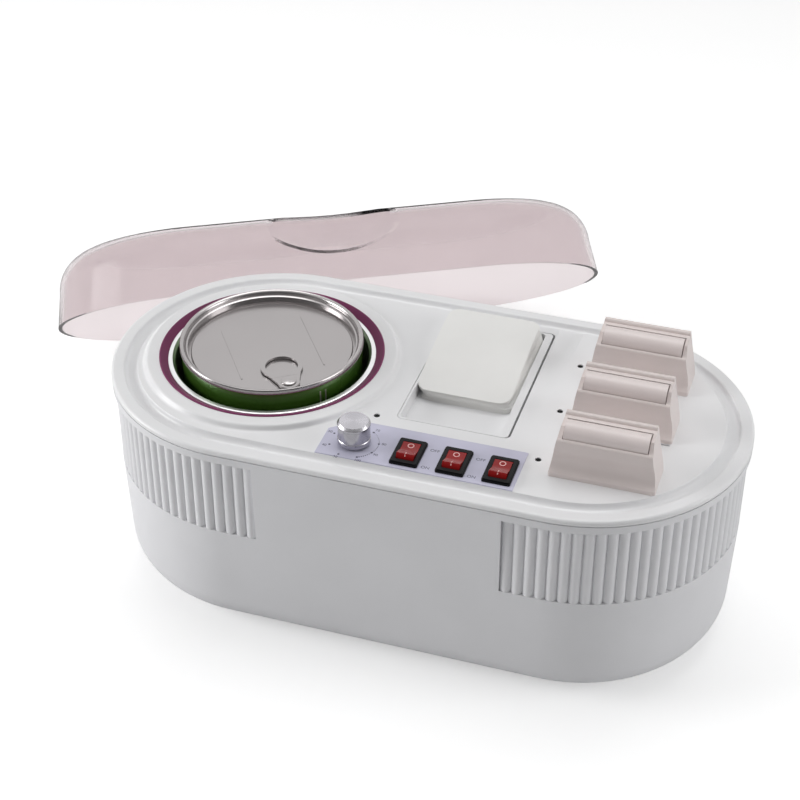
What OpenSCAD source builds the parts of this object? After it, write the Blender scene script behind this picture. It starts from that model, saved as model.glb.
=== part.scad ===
// Desk-top wax heater with a can well, three roll-on cartridge bays and a strip tray.
// Millimetres, +Z up. Origin: centre of the flat underside of the housing.
// X runs along the long side, -Y is the side with the switches.

/* [Housing] */
// Width of the housing, which is also the diameter of its round ends
body_w = 179; // [178:1:184]
// Height of the base shell, from its underside to the parting line
base_h = 120; // [116:1:140]
// Inward slope of the side wall, in mm for each mm of height
draft = 0.033; // [0.02:0.001:0.04]
// Radius of the rounded lower edge
base_edge_r = 20; // [14:1:24]
// Thickness of the side wall at the parting line
rim_wall = 5.5; // [5.2:0.1:6]
// Thickness of the floor
floor_t = 2.6; // [2:0.1:4]

/* [Fluted bands] */
// Height of the fluted band
flute_h = 47.6; // [30:0.1:50]
// Distance from the parting line to the top of the band
flute_drop = 4.3; // [3:0.1:8]
// Ribs around one round end, without those on the straight side
flute_count = 47; // [31:2:61]
// Ribs that run on along the straight side
flute_side_count = 3; // [1:1:5]
// Radius of one rib
flute_r = 3.2; // [3:0.1:3.6]

/* [Deck] */
// Height of the lip and the working surface over the parting line
deck_rise = 3.5; // [3:0.1:5]
// Thickness of the deck
deck_t = 2.8; // [2.4:0.1:3]
// Width of the outer lip
lip_w = 7.5; // [6:0.1:8]
// Width of the gutter between the lip and the working surface
gutter_w = 7; // [6.5:0.1:7.2]
// Depth of the gutter
gutter_d = 3.3; // [2.6:0.1:3.4]
// Height of the shadow gap at the parting line
shadow_gap = 0.7; // [0.4:0.1:1]
// Depth of the spigot that drops into the base shell
spigot_h = 6; // [4:0.5:10]

/* [Can well] */
// Inner radius of the heated well
well_r = 53.6; // [52.5:0.1:54]
// Sheet thickness of the heated well
well_t = 1; // [0.8:0.1:1.2]
// Distance of the well beyond the centre of the left end
pot_out = 1.7; // [-2:0.1:2.4]
// Deck between the foot of the boss and the strip pocket
pot_gap = 11; // [8:0.5:20]
// Front-rear position of the well
pot_y = 2; // [-1:0.1:3]
// Height of the round boss over the deck
boss_h = 3; // [2:0.1:4]
// Radius of the boss top
boss_top_r = 68.5; // [66:0.1:69]
// Radius of the boss foot
boss_foot_r = 72; // [71:0.1:72]
// Outer radius of the coloured collar
collar_r = 62.2; // [61:0.1:64]

/* [Wax can] */
// Radius of the can over its seam
can_r = 50.6; // [48:0.1:51.5]
// Height of the can
can_h = 106; // [90:1:106]
// Rim of the can over the boss
can_proud = 8.4; // [3:0.1:12]
// Depth of the can's panel under its rim
panel_drop = 6.3; // [5:0.1:7]
// Direction of the ring pull, in degrees from the X axis
can_turn = -55; // [-180:1:180]

/* [Controls] */
// Length of the control plate
plate_l = 105; // [104:0.5:106]
// Width of the control plate
plate_w = 32.5; // [32:0.1:33]
// Distance from the control plate to the cartridge heads
plate_gap = 13.3; // [12.6:0.1:14]
// Distance from the front of the working surface to the control plate
plate_edge = 0.4; // [0.2:0.1:1]
// Thickness of the control plate
plate_t = 0.6; // [0.4:0.1:1]
// Centre of the knob from the left end of the control plate
knob_in_x = 16.8; // [16:0.1:17.6]
// Centre of the knob from the front edge of the control plate
knob_in_y = 14; // [13:0.1:15]
// Radius of the knob
knob_r = 8.7; // [8:0.1:9.4]
// Height of the knob
knob_h = 13.4; // [12:0.1:16]
// Centre of the first switch from the left end of the control plate
switch_in_x = 46.6; // [45.6:0.1:47.2]
// Centre of the switches from the front edge of the control plate
switch_in_y = 12.9; // [12.4:0.1:13.4]
// Distance between switches
switch_pitch = 24.4; // [22:0.1:24.6]
// Width of a switch bezel
bezel_w = 15; // [14.6:0.1:15.4]
// Length of a switch bezel
bezel_l = 21; // [20.6:0.1:21.4]
// Tilt of a rocker at either end of its travel
rocker_tilt = 9; // [7:1:11]

/* [Roll-on cartridges] */
// Width of a cartridge head
head_w = 55.2; // [54.8:0.1:55.4]
// Depth of a cartridge head
head_d = 23.5; // [23.2:0.1:24]
// Height of a cartridge head
head_h = 29.4; // [29:0.1:30]
// Distance from the left edge of the heads to the centre of the right end
head_in = 5.9; // [5:0.1:6.4]
// Deck between the strip pocket and the cartridge heads
head_gap = 26; // [25.4:0.1:27]
// Centre of the middle cartridge, front-rear
head_mid_y = -0.4; // [-0.6:0.1:0.4]
// Distance from one cartridge to the next
head_pitch = 44.6; // [44:0.1:44.8]
// Inward slope of the ends of a head, in mm for each mm of height
head_lean = 0.15; // [0.12:0.01:0.16]
// Radius of a roller
roller_r = 6.2; // [5.8:0.1:6.3]
// Length of a roller
roller_l = 43; // [40:0.1:43.2]
// Depth of a wax tank under the deck
tank_h = 87; // [60:1:88]

/* [Strip tray] */
// Width of the pocket
pocket_w = 61.8; // [61:0.1:66]
// Deck between the control plate and the pocket
pocket_gap = 9.1; // [8:0.1:10]
// Deck between the pocket and the rear gutter
pocket_back = 5.4; // [4.6:0.1:8]
// Depth of the pocket
pocket_d = 11.5; // [10:0.1:16]
// Width of the stack of strips
strip_w = 52.4; // [50:0.1:52.8]
// Length of the stack of strips
strip_l = 70; // [66:0.5:76]
// Height of the stack of strips at its front end
strip_front_h = 6.8; // [4:0.1:9]
// Height of the stack of strips at its rear end
strip_back_h = 15.6; // [8:0.1:18]

/* [Lid] */
// Height of the lid
lid_h = 46; // [42:1:56]
// Wall thickness of the lid
lid_t = 2.5; // [2:0.1:3]
// Set-in of the lid rim from the edge of the housing
lid_inset = 2.5; // [2:0.1:2.6]
// Radius of the rounded upper edge of the lid
lid_edge_r = 24; // [16:1:26]
// Turn of the leaning lid about the vertical
lid_yaw = 26; // [24:1:28]
// Drop of the high edge of the leaning lid below the parting line
lid_drop = 6.6; // [5.6:0.1:7.6]
// Slope of the long axis of the leaning lid
lid_roll = -1.2; // [-2:0.1:-0.5]
// Shift of the leaning lid along the housing
lid_along = 50; // [44:1:56]

/* [Feet and inlet] */
// Height of the rubber feet
foot_h = 3; // [2:0.5:6]
// Radius of the rubber feet
foot_r = 9; // [7.5:0.5:11]
// Centre of the mains inlet, left-right
inlet_x = 20; // [0:1:40]
// Centre of the mains inlet over the underside
inlet_z = 29; // [28:1:50]

/* [Hidden] */

$fn = 72;
eps = 0.01;

// Clearances
fit_gap = 0.3;      // between parts that lift in and out
slip_gap = 0.2;     // between fixed parts that slide together once
turn_gap = 0.05;    // round a shaft that turns

// Housing
end_r = body_w / 2;
half = (boss_foot_r - pot_out + pot_gap + pocket_w + head_gap + head_in) / 2;
shell_in_r = end_r - rim_wall;
table_z = -foot_h;

// Deck levels
deck_z = base_h + deck_rise;
deck_under = deck_z - deck_t;
gutter_z = deck_z - gutter_d;
gutter_under = gutter_z - deck_t + 0.2;
lip_in_r = end_r - lip_w;
plateau_r = lip_in_r - gutter_w;
boss_z = deck_z + boss_h;

// Can well
pot_x = -half - pot_out;
well_out_r = well_r + well_t;
well_rim_z = boss_z - 2.3;
well_lip_t = 1;
well_lip_r = well_out_r + 2.8;
collar_hole_r = collar_r - 1.4;
can_top = boss_z + can_proud;
can_z0 = can_top - can_h;
well_floor_z = can_z0 - well_t;
seam_h = 2.6;
can_side_r = can_r - 0.8;
can_t = 0.8;
panel_z = can_top - panel_drop;
panel_t = 0.6;
panel_r = can_r - 6.4;

// Cartridges
head_x0 = half - head_in;
tank_w = head_w - 3.2;
tank_d = head_d - 3.4;
bay_gap = 0.4;
bay_t = 1.2;
bay_top = gutter_under;
bay_z0 = deck_z - tank_h - 1.2 - bay_t;
roller_y = 10.1;
roller_z = 22.5;
roller_gap = 0.4;
axle_r = 1.5;
axle_l = 1.8;
neck_h = 5.8;
neck_d = 13;

// Controls
plate_x1 = head_x0 - plate_gap;
plate_x0 = plate_x1 - plate_l;
plate_y0 = -plateau_r + plate_edge;
knob_x = plate_x0 + knob_in_x;
knob_y = plate_y0 + knob_in_y;
switch_x = plate_x0 + switch_in_x;
switch_y = plate_y0 + switch_in_y;
plate_top = deck_z + plate_t;
shaft_r = 3;
bush_r = 4.8;
rocker_w = 9.4;
rocker_r = 7.3;
pivot_z = plate_top - 0.5;
pivot_pin_r = 1.2;
housing_d = 16;

// Strip tray
pocket_x0 = head_x0 - head_gap - pocket_w;
pocket_y0 = plate_y0 + plate_w + pocket_gap;
pocket_l = plateau_r - pocket_back - pocket_y0;
pocket_z = deck_z - pocket_d;
pocket_t = 2.4;
tray_w = pocket_w - 1.5;
tray_l = pocket_l - 0.8;
tray_wall = 1.2;
tray_side = 4.2;
tray_floor = 3.5;

// Lid
lid_r = end_r - lid_inset;
lid_taper = 3;
scoop_r = 81.4;
scoop_off = 42.4;

// Screws
post_r = 6.2;
post_hole_r = 2.2;
head_hole_r = 4.2;
head_seat_z = base_h * 0.38;
post_top_z = base_h / 2;
screw_r = 1.9;
thread_gap = 0.05;
post_line = plateau_r - 7.5;
posts = concat([[-half - post_line, 0], [half + post_line, 0]],
               [for (x = [pot_x + 37.2, head_x0 - 5.6], s = [1, -1]) [x, s * post_line]]);
feet = [for (sx = [-1, 1], sy = [-1, 1]) [sx * (half + 18), sy * (end_r - 44)]];

function head_y(i) = head_mid_y - head_d / 2 + (i - 2) * head_pitch;

// Pilot holes: one behind the knob and one beside each cartridge
pilots = concat([[knob_x + 3.6, pocket_y0 - 1.2]],
                [for (i = [1 : 3]) [head_x0 - 8.1 + 0.7 * i, head_y(i) + 12 - 0.4 * i]]);
pilot_r = 1.5;

function side_r(z) = end_r - draft * (base_h - z);
function arc_pts(cx, cz, r, a0, a1, n) =
    [for (i = [0 : n]) let (a = a0 + (a1 - a0) * i / n) [cx + r * cos(a), cz + r * sin(a)]];
function mirrored(pts) =
    concat(pts, [for (i = [len(pts) - 1 : -1 : 0]) if (pts[i][0] > 0) [-pts[i][0], pts[i][1]]]);

// A solid whose section follows a stadium: a prism between two turned ends
module stadium_sweep(pts, straight) {
    for (s = [-1, 1])
        translate([s * straight, 0, 0])
            rotate(-90 * s) rotate_extrude(angle = 180, $fn = 128) polygon(pts);
    rotate([90, 0, 90])
        linear_extrude(2 * straight, center = true) polygon(mirrored(pts));
}

module stadium_2d(r, straight) {
    square([2 * straight, 2 * r], center = true);
    for (s = [-1, 1])
        translate([s * straight, 0]) circle(r, $fn = 128);
}

module rounded_rect(w, l, r) {
    square([w - 2 * r, l], center = true);
    square([w, l - 2 * r], center = true);
    for (sx = [-1, 1], sy = [-1, 1])
        translate([sx * (w / 2 - r), sy * (l / 2 - r)]) circle(r, $fn = 32);
}

module rounded_block(w, l, h, r) {
    linear_extrude(h) rounded_rect(w, l, r);
}

// ---- Base shell ----

module shell_outer() {
    bottom_r = side_r(base_edge_r);
    stadium_sweep(concat(
        [[0, 0]],
        arc_pts(bottom_r - base_edge_r, base_edge_r, base_edge_r, -90, 0, 12),
        [[end_r, base_h], [0, base_h]]), half);
}

module shell_inner() {
    in_edge_r = base_edge_r - floor_t;
    stadium_sweep(concat(
        [[0, floor_t]],
        arc_pts(shell_in_r - in_edge_r, floor_t + in_edge_r, in_edge_r, -90, 0, 6),
        [[shell_in_r, base_h + 1], [0, base_h + 1]]), half);
}

flute_z0 = base_h - flute_drop - flute_h;
flute_crest_r = side_r(flute_z0) - 0.1;
flute_path_r = flute_crest_r - flute_r;
flute_step = PI * flute_crest_r / (flute_count - 1);
flute_root_r = flute_crest_r - 1.9;

// Outline of the ribs round one end and a little way along the sides
module flute_outline() {
    circle(flute_root_r, $fn = 128);
    for (i = [0 : flute_count - 1])
        rotate(-90 + 180 * i / (flute_count - 1))
            translate([flute_path_r, 0]) circle(flute_r, $fn = 24);
    for (sy = [-1, 1], k = [1 : flute_side_count])
        translate([-k * flute_step, sy * flute_path_r]) circle(flute_r, $fn = 24);
    translate([-flute_step * (flute_side_count + 2), -flute_root_r])
        square([flute_step * (flute_side_count + 2), 2 * flute_root_r]);
}

// What is cut from the wall to leave the ribs of one end standing
module flute_cut() {
    band_l = flute_step * (flute_side_count + 0.5);
    translate([half, 0, flute_z0])
        linear_extrude(flute_h)
            difference() {
                translate([-band_l, -end_r - 2])
                    square([band_l + end_r + 2, 2 * end_r + 4]);
                flute_outline();
            }
}

module vent_slots() {
    for (i = [-3 : 3], sy = [-1, 1])
        translate([i * 9 - 1.5, sy * 30 - 14, -1]) cube([3, 28, floor_t + 2]);
}

inlet_w = 24.6;
inlet_h = 15;
inlet_pad_y = side_r(inlet_z) + 0.9;

module base_shell() {
    color([0.93, 0.93, 0.94])
    difference() {
        union() {
            difference() {
                shell_outer();
                shell_inner();
            }
            for (p = posts)
                translate([p.x, p.y, floor_t - 0.5]) cylinder(r = post_r, h = post_top_z - floor_t + 0.5);
            for (p = feet)
                translate([p.x, p.y, floor_t - 0.5]) cylinder(r = 5, h = 8);
            for (sx = [-1, 1], sy = [-1, 1])
                translate([board_x + sx * board_hole_x, sy * board_hole_y, floor_t - 0.5])
                    cylinder(r = 3, h = board_z - floor_t + 0.5);
            translate([inlet_x - 17, shell_in_r - 2, inlet_z - 11])
                cube([34, inlet_pad_y - shell_in_r + 2, 22]);
        }
        flute_cut();
        mirror([1, 0, 0]) flute_cut();
        for (p = posts)
            translate([p.x, p.y, -1]) {
                cylinder(r = post_hole_r, h = post_top_z + 2);
                cylinder(r = head_hole_r, h = head_seat_z + 1);
            }
        for (p = feet)
            translate([p.x, p.y, -1]) cylinder(r = screw_r + thread_gap, h = 9.5);
        vent_slots();
        translate([inlet_x - inlet_w / 2, shell_in_r - 4, inlet_z - inlet_h / 2])
            cube([inlet_w, rim_wall + 8, inlet_h]);
    }
}

// ---- Deck ----

module deck_plate() {
    lip_edge_r = 2;
    cove_out_r = gutter_d - 1;
    cove_in_r = gutter_d - 0.3;
    spigot_r = shell_in_r - fit_gap;
    stadium_sweep(concat(
        [[0, deck_under], [plateau_r - 2.8, deck_under], [plateau_r - 1, gutter_under],
         [spigot_r - 2.5, gutter_under], [spigot_r - 2.5, base_h - spigot_h],
         [spigot_r, base_h - spigot_h], [spigot_r, base_h],
         [end_r - 1.2, base_h], [end_r - 1.2, base_h + shadow_gap],
         [end_r, base_h + shadow_gap]],
        arc_pts(end_r - lip_edge_r, deck_z - lip_edge_r, lip_edge_r, 0, 90, 6),
        arc_pts(lip_in_r + 0.9, deck_z - 0.9, 0.9, 90, 180, 4),
        arc_pts(lip_in_r - cove_out_r, gutter_z + cove_out_r, cove_out_r, 0, -90, 5),
        arc_pts(plateau_r + cove_in_r, gutter_z + cove_in_r, cove_in_r, -90, -180, 6),
        [[plateau_r - 0.3, deck_z], [0, deck_z]]), half);
}

module pot_boss() {
    cove_r = 1.8;
    shoulder_r = 2;
    translate([pot_x, pot_y, 0])
        rotate_extrude($fn = 128)
            polygon(concat(
                [[collar_hole_r - 2, deck_under], [boss_foot_r - 2, deck_under]],
                arc_pts(boss_foot_r, deck_z + cove_r, cove_r, -90, -150, 4),
                arc_pts(boss_top_r - 0.4, boss_z - shoulder_r, shoulder_r, 30, 90, 5),
                [[collar_hole_r - 2, boss_z]]));
}

module bay_frame(i, w, d, z0, z1) {
    translate([head_x0 + head_w / 2 - w / 2, head_y(i) + head_d / 2 - d / 2, z0])
        cube([w, d, z1 - z0]);
}

valley_w = 14;
valley_d = 1.2;
valley_fade = 0.6;
valley_r = (valley_w * valley_w / 4 + valley_d * valley_d) / (2 * valley_d);
pocket_cx = pocket_x0 + pocket_w / 2;
pocket_cy = pocket_y0 + pocket_l / 2;

module deck() {
    color([0.96, 0.96, 0.97])
    difference() {
        union() {
            deck_plate();
            pot_boss();
            for (i = [1 : 3])
                bay_frame(i, tank_w + 3, tank_d + 3, bay_top, deck_z - 1);
            translate([pocket_cx, pocket_cy, pocket_z - pocket_t])
                rounded_block(pocket_w + 2 * pocket_t, pocket_l + 2 * pocket_t,
                              deck_z - 1 - pocket_z + pocket_t, 3 + pocket_t);
            for (p = posts)
                translate([p.x, p.y, post_top_z])
                    cylinder(r = post_r - 1.2, h = deck_under - post_top_z + 1);
            for (p = pilots)
                translate([p.x, p.y, pilot_board_z + 1.6])
                    cylinder(r = pilot_r + 1.8, h = deck_under - pilot_board_z);
        }
        translate([pot_x, pot_y, deck_under - 1])
            cylinder(r = collar_hole_r, h = boss_h + deck_t + 3, $fn = 128);
        for (i = [1 : 3])
            bay_frame(i, tank_w + 1, tank_d + 1, bay_top - 1, deck_z + 1);
        translate([pocket_cx, pocket_cy, pocket_z])
            rounded_block(pocket_w, pocket_l, pocket_d + 1, 3);
        for (p = posts)
            translate([p.x, p.y, post_top_z - 1])
                cylinder(r = screw_r + thread_gap, h = 24);
        for (p = pilots)
            translate([p.x, p.y, pilot_board_z]) cylinder(r = pilot_r + slip_gap, h = 20);
        for (k = [0 : 2])
            translate([switch_x + k * switch_pitch - 6.5, switch_y - 9.5, deck_under - 1])
                cube([13, 19, deck_t + 2]);
        translate([knob_x, knob_y, deck_under - 1]) cylinder(r = bush_r + slip_gap, h = deck_t + 2);
        // Shallow valley between the pocket and the cartridges, which fades out towards the front
        translate([pocket_x0 + pocket_w + valley_w / 2 + 0.6, plateau_r + 2, deck_z - valley_d])
            rotate([90 - valley_fade, 0, 0])
                translate([0, valley_r, -3]) cylinder(r = valley_r, h = 140, $fn = 128);
        // Drain slot in front of the middle cartridge
        translate([head_x0 + head_w - 5.6, head_y(2) - 1.7, deck_under - 1])
            cube([4.8, 1.3, deck_t + 2]);
    }
}

// ---- Feet and screws ----

module rubber_feet() {
    color([0.15, 0.15, 0.16])
    for (p = feet)
        translate([p.x, p.y, table_z])
            difference() {
                rotate_extrude()
                    polygon([[0, 0], [foot_r - 1.4, 0], [foot_r - 0.6, 0.5],
                             [foot_r, foot_h], [0, foot_h]]);
                translate([0, 0, -1]) cylinder(r = 4, h = foot_h);
                cylinder(r = screw_r + slip_gap, h = foot_h + 1);
            }
}

module pan_screw(l) {
    rotate_extrude()
        polygon([[0, -2], [2.2, -2], [3.3, -1.2], [3.5, 0], [screw_r, 0],
                 [screw_r, l - 1.5], [0, l]]);
}

module foot_screws() {
    color([0.75, 0.76, 0.78])
    for (p = feet)
        translate([p.x, p.y, table_z + foot_h - 1]) pan_screw(9);
}

module case_screws() {
    color([0.75, 0.76, 0.78])
    for (p = posts)
        translate([p.x, p.y, head_seat_z]) pan_screw(post_top_z - head_seat_z + 16);
}

// ---- Mains inlet and electrics ----

module inlet_outline(grow) {
    square([8.4, 10.4 + 2 * grow], center = true);
    for (s = [-1, 1])
        translate([s * 4.2, 0]) circle(5.2 + grow);
}

module mains_inlet() {
    color([0.1, 0.1, 0.11])
    translate([inlet_x, inlet_pad_y, inlet_z]) rotate([90, 0, 0])
        difference() {
            union() {
                translate([0, 0, -1.8]) rounded_block(31, 20, 1.8, 2);
                translate([0, 0, -eps])
                    rounded_block(inlet_w - 0.6, inlet_h - 0.6, 20, 1.5);
            }
            translate([0, 0, -2.8]) linear_extrude(13.8) inlet_outline(0);
            for (s = [-1, 1])
                translate([s * 4.3, 0, 5]) cylinder(r = 1.2 + thread_gap, h = 20);
        }
}

module inlet_pins() {
    color([0.8, 0.8, 0.82])
    for (s = [-1, 1])
        translate([inlet_x + s * 4.3, inlet_pad_y - 24, inlet_z]) rotate([-90, 0, 0])
            cylinder(r = 1.2, h = 24);
}

board_x = 10;
board_w = 72;
board_l = 92;
board_z = 12;
board_t = 1.6;
board_hole_x = board_w / 2 - 4;
board_hole_y = board_l / 2 - 4;

module power_board() {
    color([0.15, 0.4, 0.22])
    translate([board_x - board_w / 2, -board_l / 2, board_z])
        cube([board_w, board_l, board_t]);
}

module terminal_block() {
    color([0.9, 0.9, 0.88])
    translate([board_x - 20, board_l / 2 - 20, board_z + board_t])
        difference() {
            cube([40, 12, 13]);
            for (i = [0 : 4])
                translate([4 + i * 8, 6, 5]) cylinder(r = 2.2, h = 9);
        }
}

module relays() {
    color([0.15, 0.3, 0.65])
    for (i = [-1 : 1])
        translate([board_x - 8 + i * 22, -25, board_z + board_t]) cube([16, 19, 15]);
}

// ---- Can well ----

module heater_well() {
    color([0.78, 0.79, 0.8])
    translate([pot_x, pot_y, 0])
        rotate_extrude($fn = 128)
            polygon([[0, well_floor_z], [well_out_r - 2, well_floor_z],
                     [well_out_r, well_floor_z + 2], [well_out_r, well_rim_z],
                     [well_lip_r, well_rim_z], [well_lip_r, well_rim_z + 0.6],
                     [well_lip_r - 0.5, well_rim_z + well_lip_t],
                     [well_r + 1.4, well_rim_z + well_lip_t], [well_r, well_rim_z - 0.6],
                     [well_r, can_z0 + 1.2], [well_r - 1.2, can_z0], [0, can_z0]]);
}

// Mica band heater, open where its clamp sits
band_h = can_h * 0.49;
band_rise = 14;
band_t = 1.6;
band_gap = 6;

module heater_band() {
    color([0.72, 0.66, 0.5])
    translate([pot_x, pot_y, well_floor_z + band_rise])
        difference() {
            cylinder(r = well_out_r + slip_gap + band_t, h = band_h, $fn = 128);
            translate([0, 0, -1]) cylinder(r = well_out_r + slip_gap, h = band_h + 2, $fn = 128);
            rotate(30) translate([well_r, -band_gap / 2, -1]) cube([8, band_gap, band_h + 2]);
        }
}

module thermal_cutout() {
    color([0.2, 0.2, 0.2])
    translate([pot_x, pot_y, well_floor_z - 5]) {
        cylinder(r = 8, h = 5);
        translate([-12, -3, 3.8]) cube([24, 6, 1.2]);
    }
}

module well_collar() {
    in_r = well_out_r + slip_gap;
    color([0.55, 0.2, 0.38])
    translate([pot_x, pot_y, 0])
        rotate_extrude($fn = 128)
            polygon([[in_r, deck_under - 3], [collar_hole_r - slip_gap, deck_under - 3],
                     [collar_hole_r - slip_gap, boss_z], [collar_r, boss_z],
                     [collar_r, boss_z + 0.4], [collar_r - 0.5, boss_z + 0.7],
                     [collar_r - 1, boss_z + 0.6], [well_lip_r + 0.4, well_rim_z + 0.6],
                     [well_lip_r + 0.2, well_rim_z], [in_r, well_rim_z]]);
}

// ---- Wax can ----

module at_can() {
    translate([pot_x, pot_y, 0]) rotate(can_turn) children();
}

module can_body() {
    color([0.2, 0.4, 0.12])
    at_can() rotate_extrude($fn = 128)
        polygon([[0, can_z0 + 3], [can_side_r - 2, can_z0 + 3], [can_side_r - 1.4, can_z0],
                 [can_r, can_z0], [can_r, can_z0 + 3], [can_side_r, can_z0 + 3.6],
                 [can_side_r, can_top - seam_h], [can_side_r - can_t, can_top - seam_h],
                 [can_side_r - can_t, can_z0 + 4], [0, can_z0 + 4]]);
}

module can_end() {
    chuck_r = can_r - 2.4;
    bead_r = chuck_r - 1.9;
    bead_z = can_top - 3;
    color([0.72, 0.72, 0.74])
    at_can() {
        rotate_extrude($fn = 128)
            polygon([[0, panel_z - panel_t], [panel_r - 0.3, panel_z - panel_t],
                     [panel_r + 0.5, panel_z - 1.5], [bead_r - 0.4, panel_z - 1.5],
                     [bead_r + 0.3, bead_z - 0.9], [chuck_r - 0.2, bead_z - 0.8],
                     [chuck_r + 0.2, can_top - seam_h], [can_r, can_top - seam_h],
                     [can_r, can_top - 0.8], [can_r - 0.5, can_top - 0.1],
                     [can_r - 1.1, can_top], [can_r - 1.8, can_top - 0.3],
                     [chuck_r - 0.2, can_top - 1], [chuck_r - 0.6, bead_z],
                     [chuck_r - 1.1, bead_z + 0.4], [bead_r, bead_z],
                     [bead_r - 0.7, panel_z - 0.9], [panel_r + 0.6, panel_z - 0.9],
                     [panel_r, panel_z], [0, panel_z]]);
        // Beads pressed into the panel on either side of the ring pull
        for (s = [-1, 1])
            translate([-25, s * 23 - 0.45, panel_z - eps]) cube([50, 0.9, 0.35]);
        // Rivet that holds the ring pull
        translate([tab_rivet, 0, panel_z - eps])
            cylinder(r = 2.2 - turn_gap, h = tab_lift + tab_t + 0.2);
        translate([tab_rivet, 0, panel_z + tab_lift + tab_t + 0.1])
            rotate_extrude() polygon([[0, 0], [4, 0], [4.2, 0.4], [3.6, 0.9], [0, 1.1]]);
    }
}

module can_wax() {
    color([0.85, 0.7, 0.4])
    translate([pot_x, pot_y, can_z0 + 4])
        cylinder(r = can_side_r - can_t - slip_gap, h = can_h - 18, $fn = 96);
}

// Ring pull, along the X axis of the can
tab_rivet = 36.8;
tab_nose = 43;
tab_ring = 21.5;
tab_hinge = tab_rivet - 5.2;
tab_w = 23;
tab_t = 1.2;
tab_lift = 0.6;
tab_tip_r = 6;

module tab_outline() {
    translate([tab_ring, 0]) circle(tab_w / 2);
    polygon([[tab_ring, -tab_w / 2], [tab_nose - tab_tip_r, -tab_tip_r],
             [tab_nose - tab_tip_r, tab_tip_r], [tab_ring, tab_w / 2]]);
    translate([tab_nose - tab_tip_r, 0]) circle(tab_tip_r);
}

// The end under the rivet, which stays flat
module tab_base() {
    color([0.85, 0.85, 0.87])
    at_can() translate([0, 0, panel_z + tab_lift])
        linear_extrude(tab_t)
            difference() {
                tab_outline();
                translate([tab_hinge - 2 * tab_w, -tab_w]) square([2 * tab_w, 2 * tab_w]);
                translate([tab_rivet, 0]) circle(2.2);
            }
}

// The ring, which folds up at its upper edge beside the rivet
module pull_tab() {
    color([0.85, 0.85, 0.87])
    at_can() translate([0, 0, panel_z + tab_lift])
        linear_extrude(tab_t)
            difference() {
                tab_outline();
                translate([tab_hinge - 0.1, -tab_w]) square([tab_w, 2 * tab_w]);
                intersection() {
                    translate([tab_ring, 0]) circle(tab_w / 2 - 2.6);
                    translate([tab_ring - tab_w, -tab_w / 2]) square([tab_w + 4.6, tab_w]);
                }
            }
}

// ---- Controls ----

module control_plate() {
    y1 = plate_y0 + plate_w;
    color([0.8, 0.8, 0.88])
    difference() {
        translate([0, 0, deck_z])
            linear_extrude(plate_t)
                polygon([[plate_x0, plate_y0], [plate_x1, plate_y0], [plate_x1, y1],
                         [plate_x0 + 13, y1], [plate_x0, y1 - 11]]);
        for (k = [0 : 2])
            translate([switch_x + k * switch_pitch - 6.5, switch_y - 9.5, deck_z - 1])
                cube([13, 19, plate_t + 2]);
        translate([knob_x, knob_y, deck_z - 1]) cylinder(r = bush_r + slip_gap, h = plate_t + 2);
    }
}

module thermostat() {
    color([0.3, 0.3, 0.32])
    difference() {
        translate([knob_x, knob_y, 0]) {
            translate([0, 0, deck_under - 20]) cylinder(r = 12.6, h = 16);
            translate([0, 0, deck_under - 5]) cylinder(r = 7, h = 5);
            cylinder_from(bush_r, deck_under - 5, plate_top + 2.4);
        }
        translate([knob_x, knob_y, deck_under - 12])
            cylinder(r = shaft_r + turn_gap, h = 40);
    }
}

module cylinder_from(r, z0, z1) {
    translate([0, 0, z0]) cylinder(r = r, h = z1 - z0);
}

module thermostat_nut() {
    color([0.8, 0.8, 0.82])
    translate([knob_x, knob_y, plate_top])
        difference() {
            cylinder(r = 6.4, h = 2, $fn = 6);
            translate([0, 0, -1]) cylinder(r = bush_r + thread_gap, h = 4);
        }
}

module thermostat_shaft() {
    color([0.8, 0.8, 0.82])
    translate([knob_x, knob_y, 0])
        cylinder_from(shaft_r, deck_under - 11.9, plate_top + knob_h - 3);
}

module control_knob() {
    color([0.75, 0.75, 0.77])
    translate([knob_x, knob_y, plate_top + 0.5])
        difference() {
            rotate_extrude($fn = 96)
                polygon([[0, 0], [knob_r - 0.9, 0], [knob_r, 0.9], [knob_r, 3.2],
                         [knob_r - 0.3, 3.5], [knob_r - 0.3, knob_h - 3],
                         [knob_r, knob_h - 2.7], [knob_r, knob_h - 1.4],
                         [knob_r - 1.2, knob_h], [0, knob_h]]);
            translate([0, 0, -1]) cylinder(r = 6.9, h = 4);
            translate([0, 0, 1]) cylinder(r = shaft_r + 0.02, h = knob_h - 4.4);
        }
}

module at_switch(k) {
    translate([switch_x + (k - 1) * switch_pitch, switch_y, 0]) children();
}

module switch_housing(k) {
    cavity_w = rocker_w + 0.5;
    cavity_l = 2 * rocker_r + 0.7;
    color([0.06, 0.06, 0.07])
    at_switch(k)
        difference() {
            union() {
                translate([0, 0, plate_top - housing_d])
                    rounded_block(12.7, 18.7, housing_d + 0.5, 0.8);
                translate([0, 0, plate_top]) rounded_block(bezel_w, bezel_l, 1.2, 1);
                translate([0, 0, plate_top + 1]) rounded_block(bezel_w - 1, bezel_l - 1, 1, 0.8);
                for (s = [-1, 0, 1])
                    translate([-2.4, s * 6 - 0.4, plate_top - housing_d - 7]) cube([4.8, 0.8, 8]);
            }
            translate([-cavity_w / 2, -cavity_l / 2, pivot_z - rocker_r - 0.5])
                cube([cavity_w, cavity_l, rocker_r + 10]);
            translate([-6, 0, pivot_z]) rotate([0, 90, 0])
                cylinder(r = pivot_pin_r + turn_gap, h = 12);
        }
}

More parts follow.
